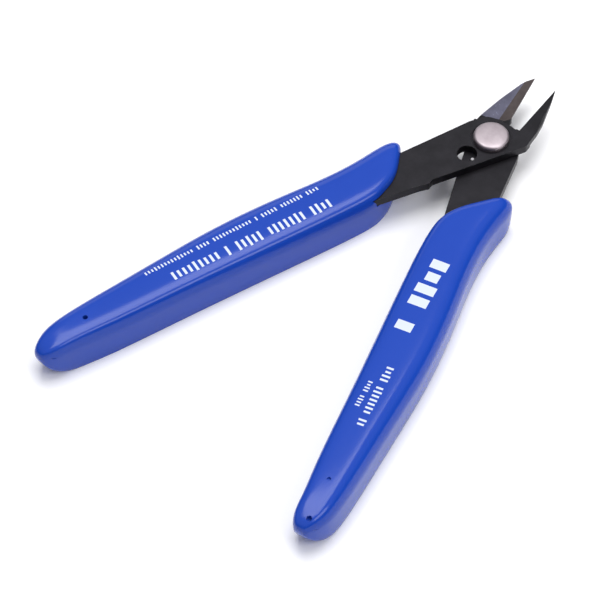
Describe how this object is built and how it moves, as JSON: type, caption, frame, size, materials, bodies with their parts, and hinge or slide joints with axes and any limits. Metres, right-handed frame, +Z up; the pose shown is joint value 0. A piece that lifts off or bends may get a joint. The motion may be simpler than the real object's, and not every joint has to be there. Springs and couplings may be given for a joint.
{
  "type": "flush cut pliers",
  "caption": "Small sprung flush cut pliers: lapped blade plates on a rivet, pointed shearing jaws, long moulded grips.",
  "frame": {"origin": "centre of the tool's footprint, on the surface it lies on: the flat undersides of the two grips", "axes": "+Y along the centreline towards the jaw tips, +Z up out of the surface, +X towards the handle of the rear (lower) plate"},
  "size_m": [0.0752, 0.1259, 0.0105],
  "materials": {
    "blade_steel": "black oxide tool steel, satin, with bare ground faces at the jaws",
    "rivet": "nickel plated, soft satin",
    "spring_wire": "bright drawn wire",
    "grip": "smooth glossy moulded plastic"
  },
  "bodies": {
    "rear_half": {"rear_blade": "blade_steel", "right_grip": "grip", "pivot_rivet": "rivet", "return_spring": "spring_wire"},
    "front_half": {"front_blade": "blade_steel", "left_grip": "grip"}
  },
  "joints": [
    {"name": "pivot", "type": "hinge", "parent": "rear_half", "child": "front_half", "pos_m": [0.00075, 0.04195, 0.0065], "axis": [0, 0, 1], "range_deg": [0, 15.2], "stiffness_Nm_per_rad": 0.3, "springref_deg": -5.73, "deforming": ["return_spring"]}
  ]
}
